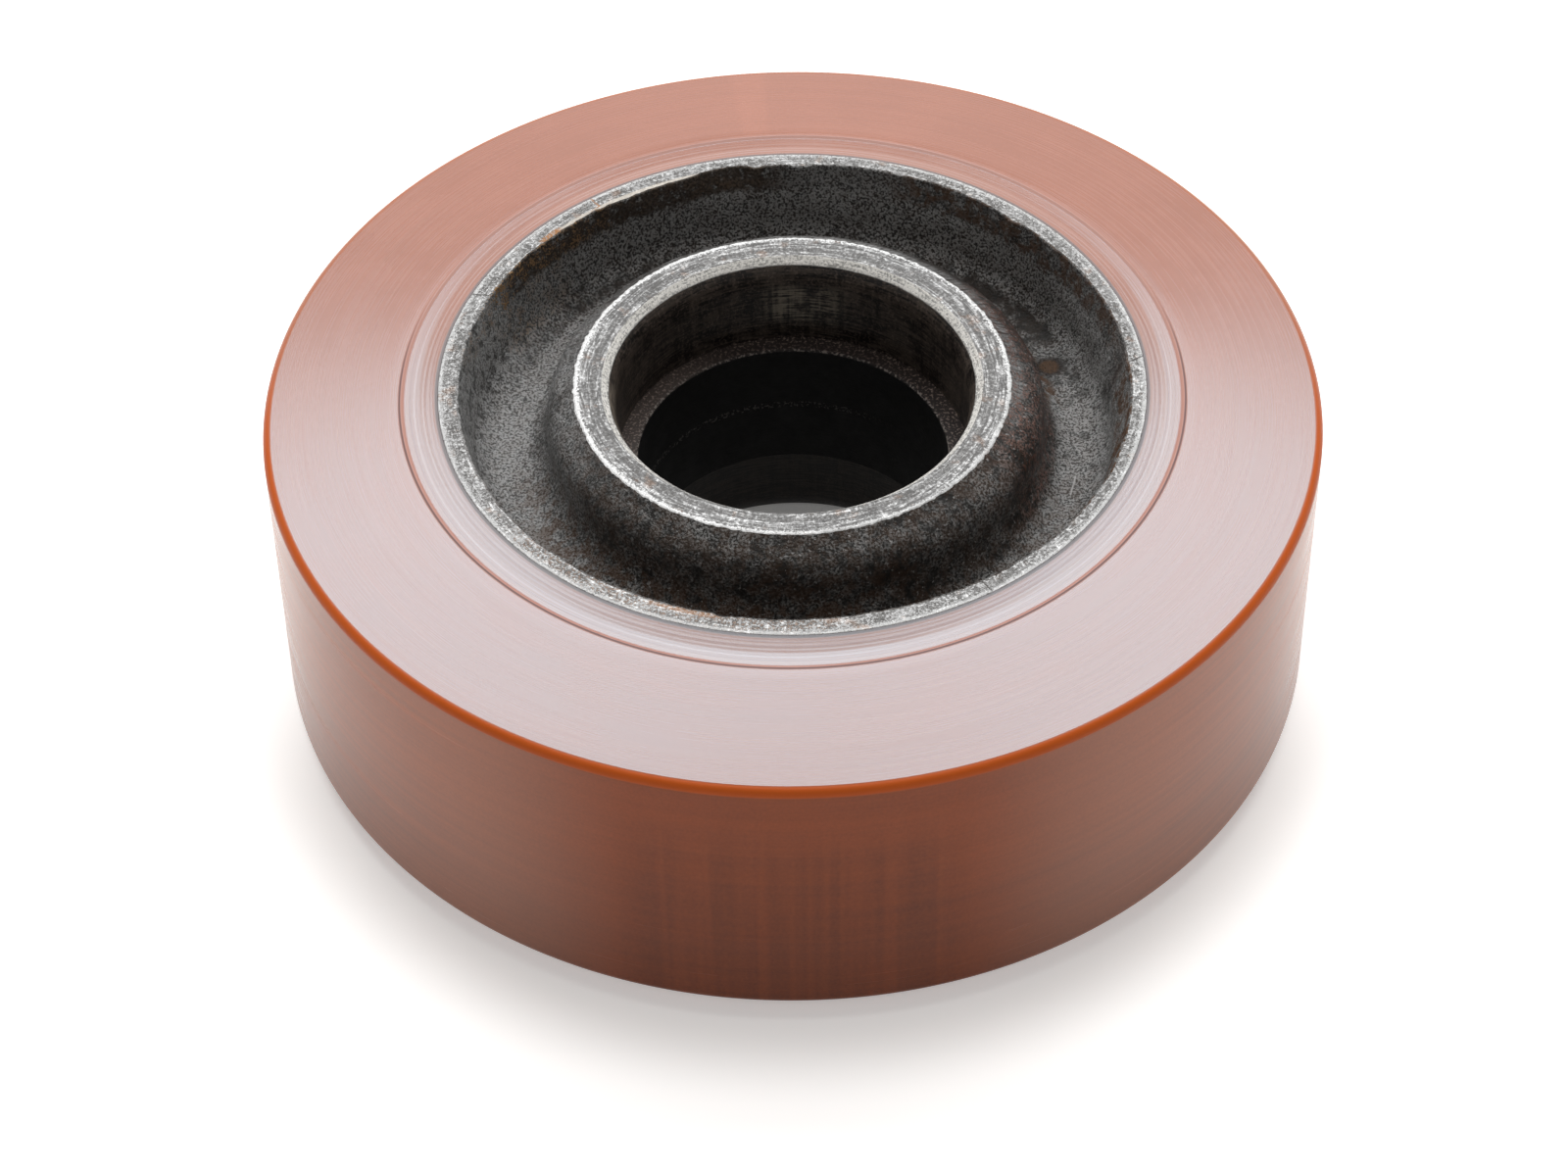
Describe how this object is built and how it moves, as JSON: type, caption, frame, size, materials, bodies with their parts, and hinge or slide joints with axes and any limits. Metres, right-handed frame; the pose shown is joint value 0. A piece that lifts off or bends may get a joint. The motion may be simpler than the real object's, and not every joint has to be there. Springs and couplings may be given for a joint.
{
  "type": "polyurethane wheel",
  "caption": "Solid wheel: cast iron hub with a stepped bearing bore and open pockets round its boss, and a thick bonded polyurethane tyre.",
  "frame": {"origin": "centre of the wheel: on its axis, halfway through its width", "axes": "+Z along the wheel's axis, which stands upright when the wheel lies flat on its hub; the wheel is alike above and below the middle plane and all round"},
  "size_m": [0.14, 0.14, 0.047],
  "materials": {
    "cast_iron": "dark cast skin with light rust, bright turned faces",
    "polyurethane": "red-brown cast polyurethane, turned to a satin surface"
  },
  "bodies": {
    "root": {"hub": "cast_iron", "tread": "polyurethane"}
  },
  "joints": []
}
